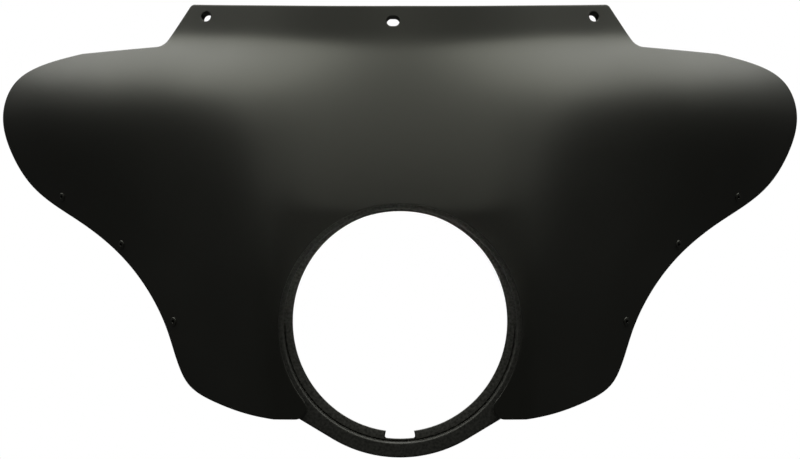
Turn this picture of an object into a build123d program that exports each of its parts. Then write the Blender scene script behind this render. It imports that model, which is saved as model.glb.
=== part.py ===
from build123d import *
import math
import os

os.makedirs("parts", exist_ok=True)

# Outer shell of a motorcycle's handlebar fairing, moulded in one piece: a swept panel with a cut-out for
# the headlamp, and behind the cut-out a lamp socket whose lower part shows as a chin.
# The origin is on the headlamp's axis, in the plane of the ledge that the lamp's trim ring seats on.
# +X is to the right as seen from the front, +Y to the rear and +Z up. Depths are measured to the rear
# from the plane of the nose, which is in front of the ledge.

# Moulded wall
wall = 3.5

# Lamp socket, which the headlamp's trim ring enters from the front
seat_radius = 102
seat_length = 8
face_depth = 4.5
lip_round = 1.3
groove_inset = 0.4
groove_width = 1.6
groove_depth = 1.4
groove_arc = 180
opening_half_width = 93.8
opening_half_height = 96.7
opening_rise = 3.8
notch_mouth = 24.5
notch_floor = 27.2
notch_rim = 3
notch_round = 2

# Cut-out of the panel, with the rounded corners where it leaves the two lower lobes
cutout_margin = 4
lobe_corner_round = 10

# Chin, flush with the face of the socket
chin_width = 12.8
chin_arc = 31
chin_ear = 45
skirt_length = 12

# Outline of the panel as seen from the front: the flange, the wing's tip, the elbow below it and the lobe
flange_middle = 284.3
flange_end = 292
flange_half_width = 192.4
flange_foot_half_width = 218.5
flange_corner_round = 5
flange_foot_round = 14
wing_top = 253.2
shoulder_half_width = 301
shoulder_drop = 2.7
wing_corner_inset = 43.5
wing_corner_rise = 48.7
tip_upper_inset = 10.3
tip_upper_rise = 30.5
tip_half_width = 383
tip_height = 194
tip_lower_inset = 8.5
tip_lower_drop = 33.5
wing_lower_inset = 32.5
wing_lower_drop = 68.5
elbow_upper_outset = 44
elbow_upper_rise = 33
elbow_half_width = 254.5
elbow_height = 57.8
elbow_lower_inset = 27
elbow_lower_drop = 32.5
lobe_upper_outset = 11.5
lobe_upper_rise = 32
lobe_half_width = 199
lobe_height = -39
lobe_lower_inset = 9
lobe_lower_drop = 15.5
lobe_corner_inset = 34
lobe_corner_drop = 30
lobe_foot_outset = 25
lobe_foot_rise = 3.8
lobe_bottom = -81.5
lobe_bottom_half_width = 110

# Nose: flat in front, with an upright bend at each side into the swept wings
nose_margin = 8
nose_bend = 6
nose_sweep = 0.97
upper_nose_half_width = 98.5
upper_nose_bend = 31.5
upper_nose_sweep = 0.8
blend_bottom = 36.5
blend_top = 202
tip_bend_start = 270
tip_bend_radius = 238

# Brow above the lamp, which leans back more and more towards the flange
brow_margin = 8.5
brow_bend = 2.5
brow_lean = 0.249
brow_radius = 500
brow_corner = 2.3

# Shoulders, where the tops of the wings roll over to the rear, lower and steeper towards the tips
shoulder_height = 226.3
shoulder_bend = 19.8
shoulder_lean = 1.21
shoulder_full = 200
tip_shoulder_drop = 2.7
tip_shoulder_lean = 0.22
tip_shoulder_start = 200
tip_shoulder_end = 340

# Flange for the windscreen, which stands up from a crease above the brow and leans most at its ends
crease_height = 250
crease_rise = 8.5
crease_bend = 3.4
flange_lean = 0.258
flange_end_lean = 0.078

# Holes for the windscreen's screws, open along the mould's draw: one near each end and a slot between
screen_hole_radius = 4.6
screen_hole_inset = 14.1
screen_hole_drop = 12.2
screen_slot_length = 11.6
screen_slot_height = 9
screen_slot_x = -6.2
screen_slot_drop = 14

# Bosses for the screws of the wind deflectors, near the wing's lower edge
tip_boss_inset = 65.5
tip_boss_drop = 79.5
elbow_boss_outset = 1.5
elbow_boss_rise = 12.4
lobe_boss_outset = 5.1
lobe_boss_rise = 40.1
boss_radius = 4
boss_length = 5
button_radius = 3.8
button_height = 0.9
button_edge = 0.3
button_taper = 40
pilot_radius = 1.4

# Grid of points that the panel's surfaces are drawn through, and how close two equal sizes are
grid_margin = 18
grid_pitch_x = 10
grid_pitch_z = 7.5
slope_step = 0.5
match_tolerance = 0.01

# Sizes that follow from those above
cutout_radius = seat_radius + cutout_margin
land_radius = cutout_radius + wall
chin_radius = seat_radius + chin_width
ledge_depth = face_depth + lip_round + seat_length
socket_back = ledge_depth + wall
nose_half_width = cutout_radius + nose_margin
brow_height = cutout_radius - brow_margin
screen_hole_x = flange_half_width - screen_hole_inset
screen_hole_z = flange_end - screen_hole_drop
screen_slot_z = flange_middle - screen_slot_drop
reach = 2 * tip_half_width


def bend(distance, softness):
    """Nothing before a bend and the distance after it, with a soft turn between."""
    return max(distance, 0) + softness * math.log1p(math.exp(-abs(distance) / softness))


def ease(value, start, end):
    """Smooth share from 0 at the start to 1 at the end."""
    share = min(max((value - start) / (end - start), 0), 1)
    return share * share * (3 - 2 * share)


def mix(first, second, share):
    return first + (second - first) * share


def match(first, second):
    return math.isclose(first, second, abs_tol=match_tolerance)


def body_depth(x, z):
    """Depth of the panel's outer surface, without the windscreen flange."""
    side = abs(x)
    upper = ease(z, blend_bottom, blend_top)
    from_nose = side - mix(nose_half_width, upper_nose_half_width, upper)
    sweep = mix(nose_sweep, upper_nose_sweep, upper) * bend(from_nose, mix(nose_bend, upper_nose_bend, upper))
    sweep += max(side - tip_bend_start, 0) ** 2 / (2 * tip_bend_radius)
    above_lamp = bend(z - brow_height, brow_bend)
    brow = brow_lean * above_lamp + above_lamp**2 / (2 * brow_radius)
    front = (sweep**brow_corner + brow**brow_corner) ** (1 / brow_corner)
    at_tip = ease(side, tip_shoulder_start, tip_shoulder_end)
    roll = shoulder_lean * bend(z - shoulder_height + tip_shoulder_drop * at_tip, shoulder_bend)
    roll *= ease(side, 0, shoulder_full) * (1 + tip_shoulder_lean * at_tip)
    return front + roll


def panel_depth(x, z):
    """Depth of the panel's outer surface."""
    to_end = (x / flange_half_width) ** 2
    above = bend(z - crease_height - crease_rise * to_end, crease_bend)
    return body_depth(x, z - above) + (flange_lean + flange_end_lean * to_end) * above


def panel_plane(x, z):
    """Plane that touches the panel's outer surface and faces outwards."""
    slope_x = (panel_depth(x + slope_step, z) - panel_depth(x - slope_step, z)) / (2 * slope_step)
    slope_z = (panel_depth(x, z + slope_step) - panel_depth(x, z - slope_step)) / (2 * slope_step)
    touching_point = (x, panel_depth(x, z) - ledge_depth, z)
    return Plane(touching_point, x_dir=(1, slope_x, 0), z_dir=(slope_x, -1, slope_z))


def at_depth(depth):
    """Upright plane at a depth behind the nose, seen from the front."""
    return Plane.XZ.offset(ledge_depth - depth)


def spread(low, high, pitch):
    """Even places from low to high, at most one pitch apart."""
    count = math.ceil((high - low) / pitch)
    return [low + (high - low) * index / count for index in range(count + 1)]


# Outer, middle and inner surfaces of the panel's wall, over a rectangle somewhat larger than its outline
grid_x = spread(-tip_half_width - grid_margin, tip_half_width + grid_margin, grid_pitch_x)
grid_z = spread(lobe_bottom - grid_margin, max(flange_middle, flange_end) + grid_margin, grid_pitch_z)
touching_planes = [[panel_plane(x, z) for z in grid_z] for x in grid_x]
outer_points = [[plane.origin for plane in row] for row in touching_planes]
middle_points = [[plane.origin - wall / 2 * plane.z_dir for plane in row] for row in touching_planes]
inner_points = [[plane.origin - wall * plane.z_dir for plane in row] for row in touching_planes]
outer_surface = Face.make_surface_from_array_of_points(outer_points, min_deg=3, max_deg=3)
middle_surface = Face.make_surface_from_array_of_points(middle_points, min_deg=3, max_deg=3)
inner_surface = Face.make_surface_from_array_of_points(inner_points, min_deg=3, max_deg=3)

# Outline of the panel
wing_edge = [
    (shoulder_half_width, wing_top - shoulder_drop),
    (tip_half_width - wing_corner_inset, tip_height + wing_corner_rise),
    (tip_half_width - tip_upper_inset, tip_height + tip_upper_rise),
    (tip_half_width, tip_height),
    (tip_half_width - tip_lower_inset, tip_height - tip_lower_drop),
    (tip_half_width - wing_lower_inset, tip_height - wing_lower_drop),
    (elbow_half_width + elbow_upper_outset, elbow_height + elbow_upper_rise),
    (elbow_half_width, elbow_height),
    (elbow_half_width - elbow_lower_inset, elbow_height - elbow_lower_drop),
    (lobe_half_width + lobe_upper_outset, lobe_height + lobe_upper_rise),
    (lobe_half_width, lobe_height),
    (lobe_half_width - lobe_lower_inset, lobe_height - lobe_lower_drop),
    (lobe_half_width - lobe_corner_inset, lobe_height - lobe_corner_drop),
    (lobe_bottom_half_width + lobe_foot_outset, lobe_bottom + lobe_foot_rise),
    (lobe_bottom_half_width, lobe_bottom),
]
with BuildSketch(at_depth(0)) as panel_outline:
    with BuildLine():
        ThreePointArc((-flange_half_width, flange_end), (0, flange_middle), (flange_half_width, flange_end))
        right_side = [
            Polyline((flange_half_width, flange_end), (flange_foot_half_width, wing_top), wing_edge[0]),
            Spline(*wing_edge),
        ]
        mirror(right_side, about=Plane.YZ)
        Line((-lobe_bottom_half_width, lobe_bottom), (lobe_bottom_half_width, lobe_bottom))
    make_face()
    outer_corners = panel_outline.vertices()
    flange_feet = outer_corners.filter_by(lambda corner: match(abs(corner.X), flange_foot_half_width))
    fillet(flange_feet, radius=flange_foot_round)
    flange_ends = panel_outline.vertices().filter_by(lambda corner: match(corner.Y, flange_end))
    fillet(flange_ends, radius=flange_corner_round)
    Circle(cutout_radius, mode=Mode.SUBTRACT)
    all_corners = panel_outline.vertices()
    lobe_corners = all_corners.filter_by(lambda corner: match(corner.center().length, cutout_radius))
    fillet(lobe_corners, radius=lobe_corner_round)
    with Locations((-screen_hole_x, screen_hole_z), (screen_hole_x, screen_hole_z)):
        Circle(screen_hole_radius, mode=Mode.SUBTRACT)
    with Locations((screen_slot_x, screen_slot_z)):
        SlotOverall(screen_slot_length, screen_slot_height, mode=Mode.SUBTRACT)


def draw_chin(radius):
    """Chin below the lamp: an arc with tangent ears that end behind the lobes."""
    with BuildSketch(at_depth(face_depth)) as chin:
        with BuildLine():
            lower_edge = CenterArc((0, 0), radius, -90 - chin_arc, 2 * chin_arc)
            right_ear = Line(lower_edge @ 1, lower_edge @ 1 + chin_ear * (lower_edge % 1))
            left_ear = Line(lower_edge @ 0, lower_edge @ 0 - chin_ear * (lower_edge % 0))
            Polyline(right_ear @ 1, (0, 0), left_ear @ 1)
        make_face()
    return chin.sketch


# Panel, the part of the outline's prism between the two surfaces
with BuildPart() as behind_outer:
    extrude(outer_surface, amount=reach, dir=(0, 1, 0))
with BuildPart() as behind_middle:
    extrude(middle_surface, amount=reach, dir=(0, 1, 0))
with BuildPart() as behind_inner:
    extrude(inner_surface, amount=2 * reach, dir=(0, 1, 0))
with BuildPart() as panel:
    extrude(panel_outline.sketch, amount=-reach)
    add(behind_outer.part, mode=Mode.INTERSECT)
    add(behind_inner.part, mode=Mode.SUBTRACT)

# Lamp mount: the step that starts inside the panel's wall, the chin, and the lamp socket with its ledge
with BuildPart() as lamp_mount:
    with BuildSketch(at_depth(face_depth + wall)):
        Circle(land_radius)
        add(draw_chin(chin_radius))
    extrude(amount=face_depth + wall)
    extrude(panel_outline.sketch, amount=-reach, mode=Mode.INTERSECT)
    add(behind_middle.part, mode=Mode.INTERSECT)
    with BuildSketch(at_depth(face_depth)):
        Circle(land_radius)
        add(draw_chin(chin_radius))
    extrude(amount=-wall)
    with BuildSketch(at_depth(face_depth)):
        add(draw_chin(chin_radius))
        add(draw_chin(chin_radius - wall), mode=Mode.SUBTRACT)
    extrude(amount=-skirt_length)
    with BuildSketch(at_depth(face_depth)):
        Circle(seat_radius + wall)
    extrude(amount=face_depth - socket_back)
    with BuildSketch(at_depth(face_depth)):
        Circle(seat_radius)
    extrude(amount=face_depth - ledge_depth, mode=Mode.SUBTRACT)
    front_edges = lamp_mount.edges().sort_by(Axis.Y)
    lip_edges = front_edges.filter_by(GeomType.CIRCLE).filter_by(lambda edge: match(edge.radius, seat_radius))
    fillet(lip_edges[0], radius=lip_round)
    with BuildSketch(Plane.XY):
        groove_outer = seat_radius - groove_inset
        groove_floor = (groove_outer - groove_width / 2, groove_depth)
        Polygon((groove_outer, 0), groove_floor, (groove_outer - groove_width, 0), align=None)
    revolve(axis=Axis.Y, revolution_arc=groove_arc, mode=Mode.SUBTRACT)
    with BuildSketch(at_depth(0)) as opening:
        notch_top = opening_half_height - opening_rise - notch_rim
        notch_bottom = seat_radius - notch_rim
        notch_side = math.sqrt(notch_bottom**2 - (notch_floor / 2) ** 2)
        with BuildLine():
            notch_left = (-notch_floor / 2, -notch_side)
            notch_right = (notch_floor / 2, -notch_side)
            ThreePointArc(notch_left, (0, -notch_bottom), notch_right)
            Polyline(notch_right, (notch_mouth / 2, -notch_top), (-notch_mouth / 2, -notch_top), notch_left)
        make_face()
        fillet(opening.vertices().group_by(Axis.Y)[0], radius=notch_round)
        with Locations((0, opening_rise)):
            Ellipse(opening_half_width, opening_half_height)
    extrude(amount=-reach, mode=Mode.SUBTRACT)

# Bosses behind the panel for the screws of the wind deflectors, with a low button in front
boss_places = [
    (tip_half_width - tip_boss_inset, tip_height - tip_boss_drop),
    (elbow_half_width + elbow_boss_outset, elbow_height + elbow_boss_rise),
    (lobe_half_width + lobe_boss_outset, lobe_height + lobe_boss_rise),
]
boss_planes = [panel_plane(side * x, z) for x, z in boss_places for side in (-1, 1)]
with BuildPart() as bosses:
    for boss_plane in boss_planes:
        with BuildSketch(boss_plane.offset(-wall / 2)):
            Circle(boss_radius)
        extrude(amount=-wall / 2 - boss_length)
        with BuildSketch(boss_plane.offset(-wall / 2)):
            Circle(button_radius)
        extrude(amount=wall / 2 + button_edge)
        with BuildSketch(boss_plane.offset(button_edge)):
            Circle(button_radius)
        extrude(amount=button_height - button_edge, taper=button_taper)
with BuildPart() as pilot_holes:
    for boss_plane in boss_planes:
        with BuildSketch(boss_plane.offset(button_height)):
            Circle(pilot_radius)
        extrude(amount=-button_height - wall - boss_length / 2)

# Whole fairing
with BuildPart() as fairing:
    add(panel.part)
    add(lamp_mount.part)
    add(bosses.part)
    add(pilot_holes.part, mode=Mode.SUBTRACT)

fairing.part.label = "outer_fairing"
export_step(fairing.part, "parts/outer_fairing.step")
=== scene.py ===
import math

import bmesh
import bpy
import numpy as np
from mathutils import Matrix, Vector, geometry, kdtree
from mathutils.bvhtree import BVHTree


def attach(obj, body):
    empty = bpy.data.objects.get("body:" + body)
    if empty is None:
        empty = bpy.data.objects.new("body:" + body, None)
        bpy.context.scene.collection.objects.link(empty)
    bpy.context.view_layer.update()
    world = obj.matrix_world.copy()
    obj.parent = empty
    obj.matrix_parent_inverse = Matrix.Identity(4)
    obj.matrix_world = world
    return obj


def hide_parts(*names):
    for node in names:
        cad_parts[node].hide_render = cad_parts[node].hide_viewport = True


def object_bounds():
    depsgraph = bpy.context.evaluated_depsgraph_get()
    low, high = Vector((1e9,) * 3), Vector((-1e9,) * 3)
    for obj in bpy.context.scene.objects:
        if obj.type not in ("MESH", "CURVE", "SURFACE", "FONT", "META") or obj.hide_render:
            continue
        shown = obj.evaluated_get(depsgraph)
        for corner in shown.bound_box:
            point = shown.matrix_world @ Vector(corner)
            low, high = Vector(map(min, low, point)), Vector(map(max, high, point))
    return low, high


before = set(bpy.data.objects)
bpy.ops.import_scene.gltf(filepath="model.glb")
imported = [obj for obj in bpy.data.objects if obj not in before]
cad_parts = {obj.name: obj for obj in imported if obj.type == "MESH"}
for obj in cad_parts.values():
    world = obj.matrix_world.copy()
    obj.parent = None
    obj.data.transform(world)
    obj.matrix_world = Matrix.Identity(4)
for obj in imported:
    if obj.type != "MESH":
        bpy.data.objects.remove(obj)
cad_low, cad_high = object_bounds()

bl_info = {
    "name": "Handlebar fairing shell",
    "version": (1, 0, 0),
    "blender": (4, 5, 0),
    "location": "View3D > Sidebar > Fairing",
    "description": "Builds the moulded outer shell of a motorcycle's handlebar fairing",
    "category": "Add Mesh",
}

# All sizes are in metres. Depths are measured to the rear from the plane of the nose. The origin is on the
# headlamp's axis, in the plane of the ledge that the lamp's trim ring seats on.


def number(name, default, description, **settings):
    return bpy.props.FloatProperty(name=name, description=description, default=default, **settings)


def length(name, default, description):
    return number(name, default, description, unit="LENGTH", precision=4)


def ratio(name, default, description):
    return number(name, default, description, precision=3)


def colour(name, default, description):
    return bpy.props.FloatVectorProperty(
        name=name, description=description, default=default, size=4, min=0, max=1, subtype="COLOR"
    )


def outline_place(name, default, description):
    return bpy.props.FloatVectorProperty(
        name=name, description=description, default=default, size=2, unit="LENGTH"
    )


class PanelForm(bpy.types.PropertyGroup):
    """Curves of the swept panel"""

    wall: length("Wall", 0.0035, "Thickness of the moulded wall")
    nose_offset: length("Nose offset", 0.0138, "How far the nose stands in front of the lamp's ledge")
    nose_half_width: length("Nose half width", 0.114, "From the middle to the upright bend beside the lamp")
    nose_bend: length("Nose bend", 0.006, "Softness of the bend beside the lamp")
    nose_sweep: ratio("Nose sweep", 0.97, "How much the wings lean back beside the lamp")
    upper_half_width: length("Upper half width", 0.0985, "From the middle to the bend above the lamp")
    upper_bend: length("Upper bend", 0.0315, "Softness of the bend above the lamp")
    upper_sweep: ratio("Upper sweep", 0.8, "How much the wings lean back above the lamp")
    blend_bottom: length("Blend bottom", 0.0365, "Where the lower bend starts to turn into the upper one")
    blend_top: length("Blend top", 0.202, "Where the upper bend is reached")
    tip_bend_start: length("Tip bend start", 0.27, "Where the wings start to curl back")
    tip_bend_radius: length("Tip bend radius", 0.238, "Radius of the curl at the wing tips")
    brow_height: length("Brow height", 0.0975, "Where the brow starts to lean back")
    brow_bend: length("Brow bend", 0.0025, "Softness of the bend below the brow")
    brow_lean: ratio("Brow lean", 0.249, "How much the brow leans back at first")
    brow_radius: length("Brow radius", 0.5, "Radius by which the brow leans back more and more")
    brow_corner: ratio("Brow corner", 2.3, "How crisply the brow meets the swept sides")
    shoulder_height: length("Shoulder height", 0.2263, "Where the tops of the wings roll over")
    shoulder_bend: length("Shoulder bend", 0.0198, "Softness of that roll")
    shoulder_lean: ratio("Shoulder lean", 1.21, "How much the tops of the wings lean back")
    shoulder_full: length("Shoulder full", 0.2, "Where the roll reaches its full strength")
    tip_drop: length("Tip drop", 0.0027, "How much lower the roll is at the tips")
    tip_lean: ratio("Tip lean", 0.22, "How much more the tops of the wings lean back at the tips")
    tip_drop_start: length("Tip drop start", 0.2, "Where the roll starts to come down")
    tip_drop_end: length("Tip drop end", 0.34, "Where the roll is down")
    crease_height: length("Crease height", 0.25, "Crease below the windscreen flange, in the middle")
    crease_rise: length("Crease rise", 0.0085, "How much higher the crease is at the flange's ends")
    crease_bend: length("Crease bend", 0.0034, "Softness of the crease")
    crease_half_width: length("Crease half width", 0.1924, "Where the crease has risen that much")
    flange_lean: ratio("Flange lean", 0.258, "How much the flange leans back in the middle")
    flange_end_lean: ratio("Flange end lean", 0.078, "How much more it leans back at its ends")


class OutlineForm(bpy.types.PropertyGroup):
    """Outline of the panel as seen from the front"""

    flange_middle: length("Flange middle", 0.2843, "Height of the flange in the middle")
    flange_end: length("Flange end", 0.292, "Height of the flange at its ends")
    flange_half_width: length("Flange half width", 0.1924, "Half the flange's width at the top")
    flange_foot: length("Flange foot", 0.2185, "Half the flange's width at its foot")
    flange_round: length("Flange round", 0.005, "Radius of the flange's corners")
    foot_round: length("Foot round", 0.014, "Radius at the flange's feet")
    wing_top: length("Wing top", 0.2532, "Height of the wings beside the flange")
    shoulder_half_width: length("Shoulder half width", 0.301, "Where the wing's curved edge starts")
    shoulder_drop: length("Shoulder drop", 0.0027, "How far the wing's top has come down there")
    tip_half_width: length("Tip half width", 0.383, "Half the whole width")
    tip_height: length("Tip height", 0.194, "Height of the wing tips")
    elbow_half_width: length("Elbow half width", 0.2545, "Half the width at the elbow below the wing")
    elbow_height: length("Elbow height", 0.0578, "Height of that elbow")
    lobe_half_width: length("Lobe half width", 0.199, "Half the width across the lower lobes")
    lobe_height: length("Lobe height", -0.039, "Height of the lobes' outer bulge")
    lobe_bottom: length("Lobe bottom", -0.0815, "Height of the lobes' lower edge")
    lobe_bottom_half_width: length("Lobe bottom half width", 0.11, "Where the lower edge becomes straight")
    cutout_radius: length("Cut-out radius", 0.106, "Radius of the cut-out round the lamp")
    lobe_round: length("Lobe round", 0.01, "Radius where the cut-out leaves the lobes")
    edge_round: length("Edge round", 0.0009, "Radius of the panel's outer edges")
    back_round: length("Back round", 0.0005, "Radius of the panel's inner edges")
    mesh_pitch: length("Mesh pitch", 0.0034, "Distance between the panel's inner mesh points")
    edge_pitch: length("Edge pitch", 0.002, "Longest step along the panel's edges")


class LampForm(bpy.types.PropertyGroup):
    """Lamp socket and chin"""

    seat_radius: length("Seat radius", 0.102, "Radius of the seat for the lamp's trim ring")
    face_depth: length("Face depth", 0.0045, "Depth of the face of the socket and the chin")
    lip_round: length("Lip round", 0.0013, "Radius of the edge between the face and the seat")
    ledge_depth: length("Ledge depth", 0.0138, "Depth of the ledge that the trim ring seats on")
    ledge_round: length("Ledge round", 0.0007, "Radius of the ledge's inner edge")
    groove_inset: length("Groove inset", 0.0004, "Ledge left between the seat and its lower groove")
    groove_width: length("Groove width", 0.0016, "Width of the groove")
    groove_depth: length("Groove depth", 0.0014, "Depth of the groove")
    opening_half_width: length("Opening half width", 0.0938, "Half the opening's width")
    opening_half_height: length("Opening half height", 0.0967, "Half the opening's height")
    opening_rise: length("Opening rise", 0.0038, "How far the opening's middle is above the lamp's axis")
    notch_mouth: length("Notch mouth", 0.0245, "Width of the notch at its mouth")
    notch_floor: length("Notch floor", 0.0272, "Width of the notch at its floor")
    notch_rim: length("Notch rim", 0.003, "Ledge left between the notch and the seat")
    notch_round: length("Notch round", 0.002, "Radius of the corners of the notch's floor")
    chin_radius: length("Chin radius", 0.1148, "Radius of the chin's lower edge")
    chin_arc: number("Chin arc", math.radians(31), "Half angle of the chin's round part", subtype="ANGLE")
    chin_ear: length("Chin ear", 0.045, "Length of the straight ears that end behind the lobes")
    chin_round: length("Chin round", 0.0012, "Radius of the chin's front edge")
    skirt_length: length("Skirt length", 0.012, "Depth of the skirt below the chin")
    land_width: length("Land width", 0.0035, "Width of the step wall behind the panel's cut-out")
    turn_steps: bpy.props.IntProperty(
        name="Turn steps", description="Steps round the lamp", default=288, min=48
    )


class ScrewForm(bpy.types.PropertyGroup):
    """Screw places"""

    hole_radius: length("Hole radius", 0.0046, "Radius of the outer windscreen holes")
    hole_x: length("Hole place", 0.1783, "From the middle to an outer windscreen hole")
    hole_z: length("Hole height", 0.2798, "Height of the outer windscreen holes")
    slot_length: length("Slot length", 0.0116, "Length of the middle windscreen slot")
    slot_height: length("Slot height", 0.009, "Height of the middle windscreen slot")
    slot_x: length("Slot place", -0.0062, "Place of the middle windscreen slot")
    slot_z: length("Slot elevation", 0.2703, "Height of the middle windscreen slot's middle")
    hole_round: length("Hole round", 0.0006, "Radius of the holes' outer edges")
    hole_lean_in: length("Hole lean in", 0.0027, "How far the outer holes run inwards through the wall")
    hole_lean_down: length("Hole lean down", 0.0036, "How far the outer holes run down through the wall")
    slot_lean_down: length("Slot lean down", 0.0026, "How far the slot runs down through the wall")
    lean_fade: length("Lean fade", 0.005, "How far from a hole the back's mesh follows its lean")
    tip_boss: outline_place("Tip boss", (0.3175, 0.1145), "Place of the boss below the tip")
    elbow_boss: outline_place("Elbow boss", (0.256, 0.0702), "Place of the boss at the elbow")
    lobe_boss: outline_place("Lobe boss", (0.2041, 0.0011), "Place of the boss above the lobe")
    boss_radius: length("Boss radius", 0.004, "Radius of the bosses behind the panel")
    boss_length: length("Boss length", 0.005, "How far the bosses stand out behind the panel")
    button_radius: length("Button radius", 0.0038, "Radius of the low buttons in front")
    button_top: length("Button top", 0.0033, "Radius of their flat tops")
    button_height: length("Button height", 0.0009, "Height of the buttons")
    button_edge: length("Button edge", 0.0003, "Height of the buttons' upright edges")
    pilot_radius: length("Pilot radius", 0.0014, "Radius of the blind pilot holes")
    pilot_depth: length("Pilot depth", 0.006, "Depth of the pilot holes below the panel's surface")


class PlasticFinish(bpy.types.PropertyGroup):
    """Satin black plastic"""

    dark: colour("Dark", (0.0052, 0.0052, 0.0047, 1), "Main colour of the plastic")
    light: colour("Light", (0.0062, 0.0062, 0.0056, 1), "Colour of its paler clouds")
    gloss: ratio("Gloss", 0.8, "Strength of the reflections")
    gloss_tint: colour("Gloss tint", (0.98, 1, 0.83, 1), "Tint of the reflections")
    roughness: ratio("Roughness", 0.47, "Mean roughness of the satin surface")
    roughness_spread: ratio("Roughness spread", 0.05, "How much the roughness varies in soft clouds")
    cloud_scale: ratio("Cloud scale", 9.0, "Soft clouds per metre")
    grain_scale: ratio("Grain scale", 2200.0, "Grains of the mould's texture per metre")
    grain_height: length("Grain height", 0.000012, "Height of the mould's grain")


class GrainedFinish(bpy.types.PropertyGroup):
    """Grained black plastic of the lamp socket and the chin"""

    dark: colour("Dark", (0.014, 0.014, 0.012, 1), "Main colour of the plastic")
    light: colour("Light", (0.062, 0.062, 0.054, 1), "Colour of its paler grains")
    # Painted light: the ledge's colour is made paler to stand in for the front and low light that falls on
    # it.
    painted_ledge_light: ratio("Painted ledge light", 1.9, "How much paler the plastic is on the ledge")
    gloss: ratio("Gloss", 0.8, "Strength of the reflections")
    gloss_tint: colour("Gloss tint", (0.98, 1, 0.87, 1), "Tint of the reflections")
    roughness: ratio("Roughness", 0.66, "Mean roughness of the grained surface")
    roughness_spread: ratio("Roughness spread", 0.06, "How much the roughness varies")
    cloud_scale: ratio("Cloud scale", 420.0, "Patches of grain per metre")
    grain_scale: ratio("Grain scale", 900.0, "Grains of the mould's texture per metre")
    grain_height: length("Grain height", 0.00006, "Height of the mould's grain")


class StageSetup(bpy.types.PropertyGroup):
    """Floor, lamps and camera"""

    floor_drop: length("Floor drop", 0.62, "How far the floor is below the shell")
    floor_size: length("Floor size", 4.0, "Side of the square floor")
    floor_colour: colour("Floor colour", (0.8, 0.8, 0.8, 1), "Colour of the floor as the camera sees it")
    floor_bounce: colour("Floor bounce", (0.1, 0.1, 0.1, 1), "Its colour for the light that it sends back")
    fill: ratio("Fill", 0.03, "Strength of the even light from all sides")
    top_power: number("Top power", 112, "Power of the overhead lamp", unit="POWER")
    front_power: number("Front power", 5.5, "Power of the front lamp", unit="POWER")
    low_power: number("Low power", 0.043, "Power of the narrow low lamp", unit="POWER")
    camera_distance: length("Camera distance", 2.4138, "From the camera to the lamp's ledge")
    camera_height: length("Camera height", 0.084, "Height of the level camera")
    focal_length: number("Focal length", 124.2, "Focal length in millimetres", unit="CAMERA")


# Curves in the plane of the outline, as arrays of (x, z)


def straight(start, end, pitch):
    steps = max(1, math.ceil(math.dist(start, end) / pitch))
    return np.linspace(start, end, steps + 1)


def arc(centre, radius, start, end, pitch):
    steps = max(8, math.ceil(abs(end - start) * radius / pitch))
    turn = np.linspace(start, end, steps + 1)
    return np.array(centre) + radius * np.column_stack([np.cos(turn), np.sin(turn)])


def rounded_corner(before, corner, after, radius, pitch):
    """Arc that rounds the corner between two straight lines."""
    before, corner, after = (np.array(point) for point in (before, corner, after))
    back = (before - corner) / np.linalg.norm(before - corner)
    ahead = (after - corner) / np.linalg.norm(after - corner)
    half_angle = math.acos(float(back @ ahead)) / 2
    bisector = (back + ahead) / np.linalg.norm(back + ahead)
    centre = corner + bisector * radius / math.sin(half_angle)
    from_centre = corner + back * radius / math.tan(half_angle) - centre
    to_centre = corner + ahead * radius / math.tan(half_angle) - centre
    start = math.atan2(from_centre[1], from_centre[0])
    turn = math.remainder(math.atan2(to_centre[1], to_centre[0]) - start, 2 * math.pi)
    return arc(centre, radius, start, start + turn, pitch)


def smooth_curve(points, pitch):
    """Cubic spline through the points, whose end slopes follow the four nearest points."""
    points = np.array(points)
    gaps = np.linalg.norm(np.diff(points, axis=0), axis=1)
    along = np.concatenate([[0], np.cumsum(gaps)])
    count = len(points)
    system = np.eye(count)
    wanted = np.zeros_like(points)
    wanted[0] = np.polyfit(along[:4] - along[0], points[:4], 3)[2]
    wanted[-1] = np.polyfit(along[-4:] - along[-1], points[-4:], 3)[2]
    for index in range(1, count - 1):
        before, after = gaps[index - 1], gaps[index]
        system[index, index - 1 : index + 2] = 1 / before, 2 / before + 2 / after, 1 / after
        step_before = (points[index] - points[index - 1]) / before**2
        wanted[index] = 3 * (step_before + (points[index + 1] - points[index]) / after**2)
    slopes = np.linalg.solve(system, wanted)
    pieces = []
    for index, gap in enumerate(gaps):
        share = np.linspace(0, 1, math.ceil(gap / pitch) + 1)[:, None]
        start = (1 + 2 * share) * (1 - share) ** 2 * points[index]
        start += gap * share * (1 - share) ** 2 * slopes[index]
        end = share**2 * (3 - 2 * share) * points[index + 1]
        end -= gap * share**2 * (1 - share) * slopes[index + 1]
        pieces.append(start + end)
    return chain(*pieces)


def chain(*curves):
    """One curve from curves that follow each other, without doubled points."""
    points = np.concatenate(curves)
    keep = np.concatenate([[True], np.linalg.norm(np.diff(points, axis=0), axis=1) > 1e-6])
    return points[keep]


def signed_area(loop):
    following = np.roll(loop, -1, axis=0)
    return float(np.sum(loop[:, 0] * following[:, 1] - following[:, 0] * loop[:, 1])) / 2


def outward(loop):
    """Unit directions away from the material on the left of a closed loop."""
    ahead = np.roll(loop, -1, axis=0) - loop
    ahead /= np.linalg.norm(ahead, axis=1)[:, None]
    mean = ahead + np.roll(ahead, 1, axis=0)
    mean /= np.linalg.norm(mean, axis=1)[:, None]
    return np.column_stack([mean[:, 1], -mean[:, 0]])


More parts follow.
